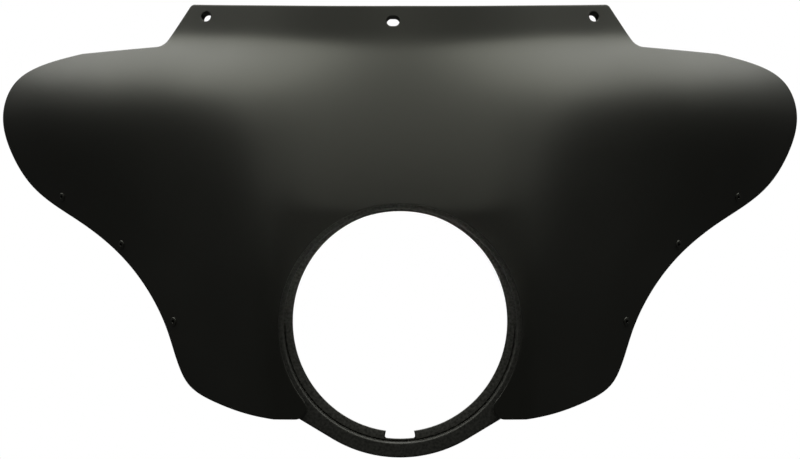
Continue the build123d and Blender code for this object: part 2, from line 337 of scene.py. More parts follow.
def inside(points, loop):
    """Whether each point is inside a closed loop."""
    following = np.roll(loop, -1, axis=0)
    found = np.zeros(len(points), dtype=bool)
    for chunk in range(0, len(points), 4000):
        x, z = points[chunk : chunk + 4000, :1], points[chunk : chunk + 4000, 1:]
        crosses = (loop[:, 1] > z) != (following[:, 1] > z)
        rise = np.where(crosses, following[:, 1] - loop[:, 1], 1)
        at = loop[:, 0] + (z - loop[:, 1]) * (following[:, 0] - loop[:, 0]) / rise
        found[chunk : chunk + 4000] = np.sum(crosses & (x < at), axis=1) % 2 == 1
    return found


def lobe_corner(outline):
    """Middle of the round corner between the cut-out and a lobe's lower edge."""
    height = outline.lobe_bottom + outline.lobe_round
    reach = outline.cutout_radius + outline.lobe_round
    return np.array([math.sqrt(reach**2 - height**2), height])


def panel_outline(outline):
    """Closed outline of the panel, with its material on the left."""
    o = outline
    pitch = o.edge_pitch
    flange_rise = o.flange_end - o.flange_middle
    flange_radius = (o.flange_half_width**2 + flange_rise**2) / (2 * flange_rise)
    flange_turn = math.asin(o.flange_half_width / flange_radius)
    flange_centre = (0, o.flange_middle + flange_radius)
    end = (o.flange_half_width, o.flange_end)
    foot = (o.flange_foot, o.wing_top)
    shoulder = (o.shoulder_half_width, o.wing_top - o.shoulder_drop)
    along_flange = (end[0] - math.cos(flange_turn), end[1] - math.sin(flange_turn))
    end_round = rounded_corner(along_flange, end, foot, o.flange_round, pitch)
    foot_round = rounded_corner(end, foot, shoulder, o.foot_round, pitch)
    flange_stop = math.asin(end_round[0, 0] / flange_radius)
    wing = smooth_curve(
        [
            shoulder,
            (o.tip_half_width - 0.0435, o.tip_height + 0.0487),
            (o.tip_half_width - 0.0103, o.tip_height + 0.0305),
            (o.tip_half_width, o.tip_height),
            (o.tip_half_width - 0.0085, o.tip_height - 0.0335),
            (o.tip_half_width - 0.0325, o.tip_height - 0.0685),
            (o.elbow_half_width + 0.044, o.elbow_height + 0.033),
            (o.elbow_half_width, o.elbow_height),
            (o.elbow_half_width - 0.027, o.elbow_height - 0.0325),
            (o.lobe_half_width + 0.0115, o.lobe_height + 0.032),
            (o.lobe_half_width, o.lobe_height),
            (o.lobe_half_width - 0.009, o.lobe_height - 0.0155),
            (o.lobe_half_width - 0.034, o.lobe_height - 0.03),
            (o.lobe_bottom_half_width + 0.025, o.lobe_bottom + 0.0038),
            (o.lobe_bottom_half_width, o.lobe_bottom),
        ],
        pitch,
    )
    corner = lobe_corner(o)
    cutout_start = math.atan2(corner[1], corner[0])
    right = chain(
        arc(flange_centre, flange_radius, -math.pi / 2, -math.pi / 2 + flange_stop, pitch),
        end_round,
        straight(end_round[-1], foot_round[0], pitch),
        foot_round,
        straight(foot_round[-1], shoulder, pitch),
        wing,
        straight(wing[-1], (corner[0], o.lobe_bottom), pitch),
        arc(corner, o.lobe_round, -math.pi / 2, -math.pi + cutout_start, pitch),
        arc((0, 0), o.cutout_radius, cutout_start, math.pi / 2, pitch),
    )
    left = right[-2:0:-1] * (-1, 1)
    loop = np.concatenate([right, left])
    return loop if signed_area(loop) > 0 else loop[::-1]


def round_hole(x, z, radius, length=None, steps=40):
    """Loop round a hole or a level slot, with its material on the left."""
    turn = -2 * math.pi * (np.arange(steps) + 0.5) / steps
    loop = np.array([x, z]) + radius * np.column_stack([np.cos(turn), np.sin(turn)])
    if length:
        loop[:, 0] += np.sign(np.cos(turn)) * (length / 2 - radius)
    return loop


def boss_places(screws):
    places = [screws.tip_boss, screws.elbow_boss, screws.lobe_boss]
    return [(side * x, z) for x, z in places for side in (-1, 1)]


# Meshes


def add_mesh(name, points, faces):
    mesh = bpy.data.meshes.new(name)
    mesh.from_pydata([tuple(map(float, point)) for point in points], [], faces)
    mesh.validate()
    piece = bpy.data.objects.new(name, mesh)
    bpy.context.scene.collection.objects.link(piece)
    return piece


def face_outwards(mesh):
    shape = bmesh.new()
    shape.from_mesh(mesh)
    bmesh.ops.recalc_face_normals(shape, faces=shape.faces)
    shape.to_mesh(mesh)
    shape.free()


def loft(rings, closed_path=True):
    """Points and faces of a skin over rings of points; each ring runs along the path, and the rings go round
    the section and close on the first. An open path gets a face at each end."""
    rings = np.array(rings)
    ring_count, path_count = rings.shape[:2]
    faces = []
    for ring in range(ring_count):
        other = (ring + 1) % ring_count
        for step in range(path_count if closed_path else path_count - 1):
            ahead = (step + 1) % path_count
            corners = ((ring, step), (other, step), (other, ahead), (ring, ahead))
            faces.append([row * path_count + column for row, column in corners])
    if not closed_path:
        faces.append([ring * path_count for ring in range(ring_count)])
        faces.append([ring * path_count + path_count - 1 for ring in range(ring_count)])
    return rings.reshape(-1, 3), faces


def upright_ring(places, y):
    """Points at places (x, z), all at one y or each at its own."""
    return np.column_stack([places[:, 0], np.broadcast_to(y, len(places)), places[:, 1]])


def join_shells(shells):
    """Points and faces of several shells as one."""
    points, faces, start = [], [], 0
    for shell_points, shell_faces in shells:
        points.append(shell_points)
        faces += [[start + corner for corner in face] for face in shell_faces]
        start += len(shell_points)
    return np.concatenate(points), faces


def flat_panel(outline, screws):
    """Flat sheet with the panel's outline, its holes and its rounded edges, twice: in front and behind. The
    sheet behind follows the windscreen holes, which lean through the wall. Gives its points as (x, z), its
    faces, each point's drop behind the surface, and 1 for each point of the back."""
    edge = panel_outline(outline)
    holes = [round_hole(side * screws.hole_x, screws.hole_z, screws.hole_radius) for side in (-1, 1)]
    holes.append(round_hole(screws.slot_x, screws.slot_z, screws.slot_height / 2, screws.slot_length))
    rounds = [outline.edge_round] + [screws.hole_round] * len(holes)
    cut_share, cut_steps, grid_share = 0.8, 16, 0.6
    cut_radius = cut_share * ((screws.pilot_radius + screws.button_radius) / 2)
    pilots = [round_hole(x, z, cut_radius, steps=cut_steps) for x, z in boss_places(screws)]
    loops = [edge] + holes + pilots
    rounds += [screws.hole_round / 4] * len(pilots)
    leans = [(0, 0)] + [(-side * screws.hole_lean_in, -screws.hole_lean_down) for side in (-1, 1)]
    leans += [(0, -screws.slot_lean_down)] + [(0, 0)] * len(pilots)

    flat_edges = [loop - outward(loop) * 2 * radius for loop, radius in zip(loops, rounds)]
    pitch = outline.mesh_pitch
    low, high = edge.min(axis=0), edge.max(axis=0)
    grid_x = np.arange(pitch / 2, high[0], pitch)
    grid_x = np.concatenate([-grid_x[::-1], grid_x])
    grid = np.array([(x, z) for z in np.arange(low[1], high[1], pitch) for x in grid_x])
    grid = grid[inside(grid, flat_edges[0])]
    tree = kdtree.KDTree(sum(len(loop) for loop in flat_edges))
    for index, point in enumerate(np.concatenate(flat_edges)):
        tree.insert((*point, 0), index)
    tree.balance()
    clear = np.array([tree.find((*point, 0))[2] > grid_share * pitch for point in grid])
    for loop in flat_edges[1:]:
        clear &= ~inside(grid, loop)
    points = np.concatenate(flat_edges + [grid[clear]])
    bounds, first = [], 0
    for loop in flat_edges:
        count = len(loop)
        bounds += [(first + index, first + (index + 1) % count) for index in range(count)]
        first += count
    cut = geometry.delaunay_2d_cdt([Vector(point) * 1000 for point in points], bounds, [], 0, 1e-5)
    order = [originals[0] for originals in cut[3]]
    triangles = np.array([[order[corner] for corner in face] for face in cut[2]])
    middles = points[triangles].mean(axis=1)
    kept = inside(middles, flat_edges[0])
    for loop in flat_edges[1:]:
        kept &= ~inside(middles, loop)
    triangles = triangles[kept]
    a, b, c = (points[triangles[:, corner]] for corner in range(3))
    turned = (b[:, 0] - a[:, 0]) * (c[:, 1] - a[:, 1]) - (b[:, 1] - a[:, 1]) * (c[:, 0] - a[:, 0]) < 0
    triangles[turned] = triangles[turned][:, ::-1]

    size = len(points)
    behind = points.copy()
    for loop, lean in zip(loops[1:4], leans[1:4]):
        middle = (loop.min(axis=0) + loop.max(axis=0)) / 2
        off_edge = np.maximum(np.linalg.norm(points - middle, axis=1) - np.ptp(loop[:, 0]) / 2, 0)
        behind += np.exp(-((off_edge / screws.lean_fade) ** 2))[:, None] * lean
    all_points, drops, backs = [points, behind], [np.zeros(2 * size)], [np.repeat([0.0, 1.0], size)]
    faces = triangles.tolist() + (triangles[:, ::-1] + size).tolist()
    total, first = 2 * size, 0
    for loop, radius, lean in zip(loops, rounds, leans):
        count = len(loop)
        direction = outward(loop)
        back_radius = min(outline.back_round, radius)
        front_turns = np.radians([0, 22.5, 45, 67.5, 90])
        back_turns = np.radians([90, 45, 0])
        rings = [(radius * (1 - math.sin(turn)), radius * (1 - math.cos(turn)), 0) for turn in front_turns]
        rings += [
            (back_radius * (1 - math.sin(turn)), -back_radius * (1 - math.cos(turn)), 1)
            for turn in back_turns
        ]
        numbers = [first + np.arange(count)]
        for inset, drop, back in rings:
            all_points.append(loop - direction * inset + back * np.array(lean))
            drops.append(np.full(count, drop))
            backs.append(np.full(count, float(back)))
            numbers.append(total + np.arange(count))
            total += count
        numbers.append(size + first + np.arange(count))
        for near, far in zip(numbers, numbers[1:]):
            ahead_near, ahead_far = np.roll(near, -1), np.roll(far, -1)
            faces += np.column_stack([near, far, ahead_far, ahead_near]).tolist()
        first += count
    return np.concatenate(all_points), faces, np.concatenate(drops), np.concatenate(backs)


# Geometry nodes


class Rule:
    """Adds the nodes of a rule to a tree."""

    def __init__(self, tree):
        self.tree = tree

    def node(self, kind, values=(), **settings):
        node = self.tree.nodes.new(kind)
        for setting, value in settings.items():
            setattr(node, setting, value)
        for name, value in dict(values).items():
            self.feed(node.inputs[name], value)
        return node

    def feed(self, socket, value):
        if isinstance(value, bpy.types.NodeSocket):
            self.tree.links.new(value, socket)
        else:
            socket.default_value = value

    def math(self, operation, *values):
        return self.node("ShaderNodeMath", enumerate(values), operation=operation).outputs[0]

    def add(self, *values):
        total = values[0]
        for value in values[1:]:
            total = self.math("ADD", total, value)
        return total

    def subtract(self, first, second):
        return self.math("SUBTRACT", first, second)

    def multiply(self, *values):
        product = values[0]
        for value in values[1:]:
            product = self.math("MULTIPLY", product, value)
        return product

    def divide(self, first, second):
        return self.math("DIVIDE", first, second)

    def power(self, first, second):
        return self.math("POWER", first, second)

    def bend(self, distance, softness):
        """Nothing before a bend and the distance after it, with a soft turn between."""
        far = self.divide(self.math("ABSOLUTE", distance), softness)
        near = self.math("EXPONENT", self.multiply(far, -1.0))
        turn = self.multiply(self.math("LOGARITHM", self.add(near, 1.0), math.e), softness)
        return self.add(self.math("MAXIMUM", distance, 0.0), turn)

    def ease(self, value, start, end):
        """Smooth share from 0 at the start to 1 at the end."""
        values = {"Value": value, "From Min": start, "From Max": end}
        return self.node("ShaderNodeMapRange", values, interpolation_type="SMOOTHSTEP").outputs[0]

    def mix(self, first, second, share):
        return self.add(first, self.multiply(self.subtract(second, first), share))

    def attribute(self, name, kind):
        node = self.node("GeometryNodeInputNamedAttribute", {"Name": name}, data_type=kind)
        return node.outputs["Attribute"]

    def noise(self, where, scale, detail):
        values = {"Vector": where, "Scale": scale, "Detail": detail}
        return self.node("ShaderNodeTexNoise", values).outputs["Fac"]

    def camera_switch(self, unseen, seen):
        """One shader for what the camera sees, and another for the light that is sent on."""
        by_camera = self.node("ShaderNodeLightPath").outputs["Is Camera Ray"]
        return self.node("ShaderNodeMixShader", {0: by_camera, 1: unseen, 2: seen}).outputs[0]

    def finish(self, shape, material):
        """Ends a tree in plain geometry of one material."""
        whole = self.node("GeometryNodeRealizeInstances", {0: shape}).outputs[0]
        dressed = self.node("GeometryNodeSetMaterial", {"Geometry": whole, "Material": material})
        self.node("NodeGroupOutput", {"Geometry": dressed.outputs[0]})


def fields(group):
    """Labels of a property group's own values, by their identifiers."""
    own = [item for item in group.bl_rna.properties if item.identifier not in {"rna_type", "name"}]
    return {item.identifier: item.name for item in own}


def new_tree(name, inputs, outputs):
    """Empty tree with its sockets, the rule that fills it, and the sockets inside it by name."""
    tree = bpy.data.node_groups.new(name, "GeometryNodeTree")
    for label, kind in inputs:
        tree.interface.new_socket(label, in_out="INPUT", socket_type=kind)
    for label, kind in outputs:
        tree.interface.new_socket(label, in_out="OUTPUT", socket_type=kind)
    rule = Rule(tree)
    given = rule.node("NodeGroupInput").outputs
    return tree, rule, {socket.name: socket for socket in given if socket.name}


def depth_tree(form):
    """Tree that gives the depth of the panel's outer surface at a place."""
    labels = fields(form)
    inputs = [(label, "NodeSocketFloat") for label in ["X", "Z", *labels.values()]]
    tree, rule, given = new_tree("Panel depth", inputs, [("Depth", "NodeSocketFloat")])
    size = {key: given[label] for key, label in labels.items()}
    x = given["X"]
    side = rule.math("ABSOLUTE", x)

    along = rule.divide(x, size["crease_half_width"])
    crease = rule.add(size["crease_height"], rule.multiply(size["crease_rise"], along, along))
    above = rule.bend(rule.subtract(given["Z"], crease), size["crease_bend"])
    z = rule.subtract(given["Z"], above)

    upper = rule.ease(z, size["blend_bottom"], size["blend_top"])
    half_width = rule.mix(size["nose_half_width"], size["upper_half_width"], upper)
    softness = rule.mix(size["nose_bend"], size["upper_bend"], upper)
    lean = rule.mix(size["nose_sweep"], size["upper_sweep"], upper)
    past_tip = rule.math("MAXIMUM", rule.subtract(side, size["tip_bend_start"]), 0.0)
    curl = rule.divide(rule.multiply(past_tip, past_tip, 0.5), size["tip_bend_radius"])
    sweep = rule.add(rule.multiply(lean, rule.bend(rule.subtract(side, half_width), softness)), curl)

    over_lamp = rule.bend(rule.subtract(z, size["brow_height"]), size["brow_bend"])
    round_back = rule.divide(rule.multiply(over_lamp, over_lamp, 0.5), size["brow_radius"])
    brow = rule.add(rule.multiply(size["brow_lean"], over_lamp), round_back)
    corner = size["brow_corner"]
    both = rule.add(rule.power(sweep, corner), rule.power(brow, corner))
    front = rule.power(both, rule.divide(1.0, corner))

    near_tip = rule.ease(side, size["tip_drop_start"], size["tip_drop_end"])
    drop = rule.multiply(size["tip_drop"], near_tip)
    over_roll = rule.bend(rule.add(rule.subtract(z, size["shoulder_height"]), drop), size["shoulder_bend"])
    roll_lean = rule.multiply(size["shoulder_lean"], rule.add(rule.multiply(size["tip_lean"], near_tip), 1.0))
    roll = rule.multiply(rule.ease(side, 0.0, size["shoulder_full"]), roll_lean, over_roll)
    flange_lean = rule.add(size["flange_lean"], rule.multiply(size["flange_end_lean"], along, along))
    depth = rule.add(front, roll, rule.multiply(flange_lean, above))
    rule.node("NodeGroupOutput", {"Depth": depth})
    return tree


def surface_nodes(rule, given, labels, depth):
    """Nodes that give the surface's place at each point's x and z, its slopes and its steepness."""
    place = rule.node("ShaderNodeSeparateXYZ", {0: rule.node("GeometryNodeInputPosition").outputs[0]}).outputs
    step = 0.0005

    def depth_at(x, z):
        node = rule.node("GeometryNodeGroup", node_tree=depth)
        rule.feed(node.inputs["X"], x)
        rule.feed(node.inputs["Z"], z)
        for label in labels.values():
            rule.feed(node.inputs[label], given[label])
        return node.outputs[0]

    x, z = place["X"], place["Z"]
    slope_x = rule.divide(
        rule.subtract(depth_at(rule.add(x, step), z), depth_at(rule.subtract(x, step), z)), 2 * step
    )
    slope_z = rule.divide(
        rule.subtract(depth_at(x, rule.add(z, step)), depth_at(x, rule.subtract(z, step))), 2 * step
    )
    squares = rule.add(rule.multiply(slope_x, slope_x), rule.multiply(slope_z, slope_z), 1.0)
    y = rule.subtract(depth_at(x, z), given[labels["nose_offset"]])
    return x, y, z, slope_x, slope_z, rule.math("SQRT", squares)


def form_inputs(form):
    sizes = [(label, "NodeSocketFloat") for label in fields(form).values()]
    return [("Geometry", "NodeSocketGeometry"), ("Material", "NodeSocketMaterial"), *sizes]


def panel_tree(form, depth):
    """Tree that bends a flat sheet into the panel: its front to the surface, its back a wall behind."""
    tree, rule, given = new_tree("Fairing panel", form_inputs(form), [("Geometry", "NodeSocketGeometry")])
    labels = fields(form)
    x, y, z, slope_x, slope_z, steepness = surface_nodes(rule, given, labels, depth)
    drop, back = rule.attribute("drop", "FLOAT"), rule.attribute("back", "FLOAT")
    behind = rule.multiply(back, given[labels["wall"]], steepness)
    place = rule.node("ShaderNodeCombineXYZ", {"X": x, "Y": rule.add(y, drop, behind), "Z": z}).outputs[0]
    bent = rule.node("GeometryNodeSetPosition", {"Geometry": given["Geometry"], "Position": place})
    rule.finish(bent.outputs[0], given["Material"])
    return tree


def boss_tree(form, depth):
    """Tree that sets a boss square on the panel at each point."""
    inputs = [*form_inputs(form), ("Boss", "NodeSocketObject")]
    tree, rule, given = new_tree("Deflector bosses", inputs, [("Geometry", "NodeSocketGeometry")])
    x, y, z, slope_x, slope_z, steepness = surface_nodes(rule, given, fields(form), depth)
    place = rule.node("ShaderNodeCombineXYZ", {"X": x, "Y": y, "Z": z}).outputs[0]
    facing = rule.node("ShaderNodeCombineXYZ", {"X": slope_x, "Y": -1.0, "Z": slope_z}).outputs[0]
    turned = rule.node("FunctionNodeAlignRotationToVector", {"Vector": facing}, axis="Z").outputs[0]
    boss = rule.node("GeometryNodeObjectInfo", {"Object": given["Boss"]}).outputs["Geometry"]
    points = rule.node("GeometryNodeMeshToPoints", {"Mesh": given["Geometry"]}).outputs[0]
    kept = rule.node(
        "GeometryNodeStoreNamedAttribute",
        {"Geometry": points, "Name": "facing", "Value": turned},
        data_type="QUATERNION",
        domain="POINT",
    ).outputs[0]
    raised = rule.node("GeometryNodeSetPosition", {"Geometry": kept, "Position": place}).outputs[0]
    rotation = rule.attribute("facing", "QUATERNION")
    values = {"Points": raised, "Instance": boss, "Rotation": rotation}
    rule.finish(rule.node("GeometryNodeInstanceOnPoints", values).outputs[0], given["Material"])
    return tree


def bake(piece, tree, values):
    """Runs a tree on a piece with these inputs, and keeps the result as the piece's own mesh."""
    modifier = piece.modifiers.new(tree.name, "NODES")
    modifier.node_group = tree
    for item in tree.interface.items_tree:
        if item.in_out == "INPUT" and item.name in values:
            modifier[item.identifier] = values[item.name]
    flat = piece.data
    evaluated = piece.evaluated_get(bpy.context.evaluated_depsgraph_get())
    result = bpy.data.meshes.new_from_object(evaluated)
    piece.modifiers.remove(modifier)
    piece.data = result
    bpy.data.meshes.remove(flat)
    result.name = piece.name


def form_values(form):
    return {label: getattr(form, key) for key, label in fields(form).items()}


# Materials


def plastic_material(name, finish, painted_ledge_light=None):
    """Black moulded plastic: a fine grain, and soft clouds in its colour and roughness. With a gain, the
    colour is painted paler near the plane of the lamp's ledge: painted light that stands in for the front and
    low light falling on the ledge."""
    material = bpy.data.materials.get(name)
    if material:
        return material
    material = bpy.data.materials.new(name)
    material.use_nodes = True
    rule = Rule(material.node_tree)
    shader = material.node_tree.nodes["Principled BSDF"]
    shader.inputs["Specular IOR Level"].default_value = finish.gloss
    shader.inputs["Specular Tint"].default_value = finish.gloss_tint
    where = rule.node("ShaderNodeTexCoord").outputs["Object"]
    clouds = rule.noise(where, finish.cloud_scale, 3.0)
    cloud_edges = {"From Min": 0.35, "From Max": 0.65}
    patches = rule.node("ShaderNodeMapRange", {"Value": clouds, **cloud_edges}).outputs[0]
    tone = rule.node("ShaderNodeMix", {0: patches}, data_type="RGBA")
    rule.feed(tone.inputs[6], finish.dark)
    rule.feed(tone.inputs[7], finish.light)
    base = tone.outputs[2]
    # Painted light: near the ledge's plane the colour is scaled paler to stand in for the front and low light
    # on the ledge.
    if painted_ledge_light:
        off_ledge = rule.math("ABSOLUTE", rule.node("ShaderNodeSeparateXYZ", {0: where}).outputs["Y"])
        ledge_reach = 0.004
        fade = {"Value": off_ledge, "From Max": ledge_reach, "To Min": painted_ledge_light, "To Max": 1.0}
        gain = rule.node("ShaderNodeMapRange", fade).outputs[0]
        base = rule.node("ShaderNodeVectorMath", {0: base, "Scale": gain}, operation="SCALE").outputs[0]
    rule.feed(shader.inputs["Base Color"], base)
    spread = finish.roughness_spread
    rough = rule.node(
        "ShaderNodeMapRange",
        {"Value": clouds, "To Min": finish.roughness - spread, "To Max": finish.roughness + spread},
    ).outputs[0]
    rule.feed(shader.inputs["Roughness"], rough)
    grain = rule.noise(where, finish.grain_scale, 2.0)
    bump = rule.node("ShaderNodeBump", {"Height": grain, "Distance": finish.grain_height, "Strength": 1.0})
    rule.feed(shader.inputs["Normal"], bump.outputs[0])
    return material


def finish_piece(piece, material, sharp=None):
    """Smooth shading, the plastic, and the piece's place on the shell."""
    mesh = piece.data
    mesh.shade_smooth()
    if sharp:
        mesh.set_sharp_from_angle(angle=math.radians(sharp))
    mesh.materials.clear()
    mesh.materials.append(material)
    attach(piece, "root")
    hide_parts("outer_fairing")


class FAIRING_OT_panel(bpy.types.Operator):
    """Builds the swept panel with its wings, lobes and windscreen flange"""

    bl_idname = "fairing.panel"
    bl_label = "Swept panel"

    def execute(self, context):
        scene = context.scene
        points, faces, drops, backs = flat_panel(scene.fairing_outline, scene.fairing_screws)
        flat = np.column_stack([points[:, 0], np.zeros(len(points)), points[:, 1]])
        panel = add_mesh("swept_panel", flat, faces)
        for name, values in (("drop", drops), ("back", backs)):
            panel.data.attributes.new(name, "FLOAT", "POINT").data.foreach_set("value", values)
        material = plastic_material("satin_black_plastic", scene.fairing_plastic)
        tree = panel_tree(scene.fairing_panel, depth_tree(scene.fairing_panel))
        bake(panel, tree, {**form_values(scene.fairing_panel), "Material": material})
        for name in ("drop", "back"):
            panel.data.attributes.remove(panel.data.attributes[name])
        finish_piece(panel, material)
        return {"FINISHED"}


def opening_loop(lamp):
    """Loop round the lamp opening and its notch, with the ledge on the left."""
    turn = -2 * math.pi * (np.arange(lamp.turn_steps) + 0.5) / lamp.turn_steps
    loop = np.column_stack([lamp.opening_half_width * np.cos(turn), lamp.opening_half_height * np.sin(turn)])
    loop[:, 1] += lamp.opening_rise
    floor_radius = lamp.seat_radius - lamp.notch_rim
    half_mouth, half_floor = lamp.notch_mouth / 2, lamp.notch_floor / 2
    floor_turn = math.asin(half_floor / floor_radius)
    floor = -floor_radius * math.cos(floor_turn)
    mouth_gap, side_pitch, corner_pitch, floor_pitch = 0.0005, 0.0015, 0.0003, 0.002
    keep = (np.abs(loop[:, 0]) > half_mouth + mouth_gap) | (loop[:, 1] > 0)
    reach = math.sqrt(1 - (half_mouth / lamp.opening_half_width) ** 2)
    mouth = lamp.opening_rise - lamp.opening_half_height * reach
    along_floor = (half_floor - math.cos(floor_turn), floor - math.sin(floor_turn))
    side_start, side_end = (half_mouth, mouth), (half_floor, floor)
    corner = rounded_corner(side_start, side_end, along_floor, lamp.notch_round, corner_pitch)
    floor_start = math.atan2(corner[-1, 1], corner[-1, 0])
    half = chain(
        straight(side_start, corner[0], side_pitch),
        corner,
        arc((0, 0), floor_radius, floor_start, -math.pi / 2, floor_pitch),
    )
    notch = np.concatenate([half, half[-2::-1] * (-1, 1)])
    first = int(np.argmax(~keep))
    before, after = loop[:first], loop[first:][keep[first:]]
    return np.concatenate([before, notch, after])


class FAIRING_OT_lamp_socket(bpy.types.Operator):
    """Builds the lamp socket: its lip, its seat and its ledge with the opening"""

    bl_idname = "fairing.lamp_socket"
    bl_label = "Lamp socket"

    def execute(self, context):
        scene = context.scene
        lamp = scene.fairing_lamp
        wall = scene.fairing_panel.wall
        opening = opening_loop(lamp)
        away = outward(opening)
        spokes = opening / np.linalg.norm(opening, axis=1)[:, None]
        outer = lamp.seat_radius + wall
        back = lamp.ledge_depth + wall
        lip, edge = lamp.lip_round, lamp.ledge_round
        turns = np.radians(np.arange(0, 91, 15))
        seat, face, ledge = lamp.seat_radius, lamp.face_depth, lamp.ledge_depth
        back_edge, seat_edge, face_sink, face_turn = 0.0005, 0.0002, 0.00003, 1.4
        section = [(outer - back_edge, back), (outer, back - back_edge)]
        section += [(outer, face + back_edge), (seat + face_turn * lip, face + face_sink)]
        section += [
            (seat + lip - lip * math.sin(turn), face + lip - lip * math.cos(turn)) for turn in turns
        ]
        section += [(seat, ledge - seat_edge), (seat - seat_edge, ledge)]
        rings = [(spokes * radius, depth) for radius, depth in section]
        in_groove = opening[:, 1] < 0
        for inset, share in ((0, 0), (lamp.groove_width / 2, 1), (lamp.groove_width, 0)):
            radius = seat - lamp.groove_inset - inset
            rings.append((spokes * radius, ledge + share * lamp.groove_depth * in_groove))
        rings += [
            (opening - away * edge * (1 - math.sin(turn)), ledge + edge * (1 - math.cos(turn)))
            for turn in turns[::2]
        ]
        rings += [(opening, back - edge), (opening - away * edge, back)]
        nose_y = -scene.fairing_panel.nose_offset
        socket = add_mesh("lamp_socket", *loft([upright_ring(ring, nose_y + depth) for ring, depth in rings]))
        face_outwards(socket.data)
        grained = scene.fairing_grained
        finish_piece(socket, plastic_material("grained_black_plastic", grained, grained.painted_ledge_light), sharp=30)
        return {"FINISHED"}


def chin_reach(lamp, land_radius, turn):
    """Radius of the chin's outer edge at an angle round the lamp, and whether the chin is there."""
    from_bottom = np.abs((turn + math.pi / 2 + math.pi) % (2 * math.pi) - math.pi)
    past = np.maximum(from_bottom - lamp.chin_arc, 0)
    end = math.atan(lamp.chin_ear / lamp.chin_radius)
    on_chin = past <= end + 1e-9
    return np.where(on_chin, lamp.chin_radius / np.cos(np.minimum(past, end)), land_radius), on_chin


class FAIRING_OT_chin(bpy.types.Operator):
    """Builds the chin with its skirt, and the step wall between the panel and the socket"""

    bl_idname = "fairing.chin"
    bl_label = "Chin and step wall"

    def execute(self, context):
        scene = context.scene
        lamp, outline = scene.fairing_lamp, scene.fairing_outline
        wall = scene.fairing_panel.wall
        nose_y = -scene.fairing_panel.nose_offset
        land_radius = outline.cutout_radius + lamp.land_width
        end = lamp.chin_arc + math.atan(lamp.chin_ear / lamp.chin_radius)
        turn = 2 * math.pi * np.arange(lamp.turn_steps) / lamp.turn_steps - math.pi
        jumps = [-math.pi / 2 + side * (end + change) for side in (-1, 1) for change in (0, 1e-4)]
        turn = np.sort(np.concatenate([turn, jumps]))
        spokes = np.column_stack([np.cos(turn), np.sin(turn)])
        reach, on_chin = chin_reach(lamp, land_radius, turn)
        tube = lamp.seat_radius + lamp.lip_round
        front, back = lamp.face_depth, lamp.face_depth + wall
        land_lip, back_edge, back_gap = 0.0008, 0.0005, 0.0001
        skirt = np.where(on_chin, lamp.face_depth + lamp.skirt_length, back + land_lip)
        round_edge = lamp.chin_round
        inner = np.full(len(turn), tube)
        section = [(inner, front), (reach - 2 * round_edge, front)]
        section += [
            (reach - round_edge * (1 - math.sin(bend)), front + round_edge * (1 - math.cos(bend)))
            for bend in np.radians(np.arange(0, 91, 15))
        ]
        section += [
            (reach, skirt - back_edge),
            (reach - back_edge, skirt),
            (reach - wall + back_edge, skirt),
            (reach - wall, skirt - back_edge),
            (reach - wall, back + back_gap),
            (inner, back),
        ]
        rings = [upright_ring(spokes * radius[:, None], nose_y + depth) for radius, depth in section]
        shells = [loft(rings)]

        panel = bpy.data.objects["swept_panel"].data
        surface = BVHTree.FromPolygons([v.co for v in panel.vertices], [p.vertices for p in panel.polygons])
        edge = panel_outline(outline)
        corner_reach, end_gap, probe_inset, probe_start, sunk_share = 0.012, 0.001, 0.003, -0.1, 0.6
        near = np.linalg.norm(edge, axis=1) < outline.cutout_radius + corner_reach
        start = int(np.argmax(~near))
        path = np.roll(edge, -start, axis=0)[np.roll(near, -start)]
        away = np.roll(outward(edge), -start, axis=0)[np.roll(near, -start)]
        reach = chin_reach(lamp, land_radius, np.arctan2(path[:, 1], path[:, 0]))[0]
        over = np.linalg.norm(path, axis=1) < reach - end_gap
        path, away = path[over], away[over]
        starts = [Vector((x, probe_start, z)) for x, z in path - probe_inset * away]
        hits = [surface.ray_cast(start, Vector((0, 1, 0)))[0] for start in starts]
        tops = np.array([hit.y + sunk_share * wall for hit in hits])
        bottoms = np.full(len(path), nose_y + front + wall / 2)
        outside, within = path - away * back_gap, path - away * lamp.land_width
        corners = ((outside, tops), (outside, bottoms), (within, bottoms), (within, tops))
        shells.append(loft([upright_ring(places, y) for places, y in corners], closed_path=False))

        chin = add_mesh("chin_and_step", *join_shells(shells))
        face_outwards(chin.data)
        grained = scene.fairing_grained
        finish_piece(chin, plastic_material("grained_black_plastic", grained, grained.painted_ledge_light), sharp=40)
        return {"FINISHED"}


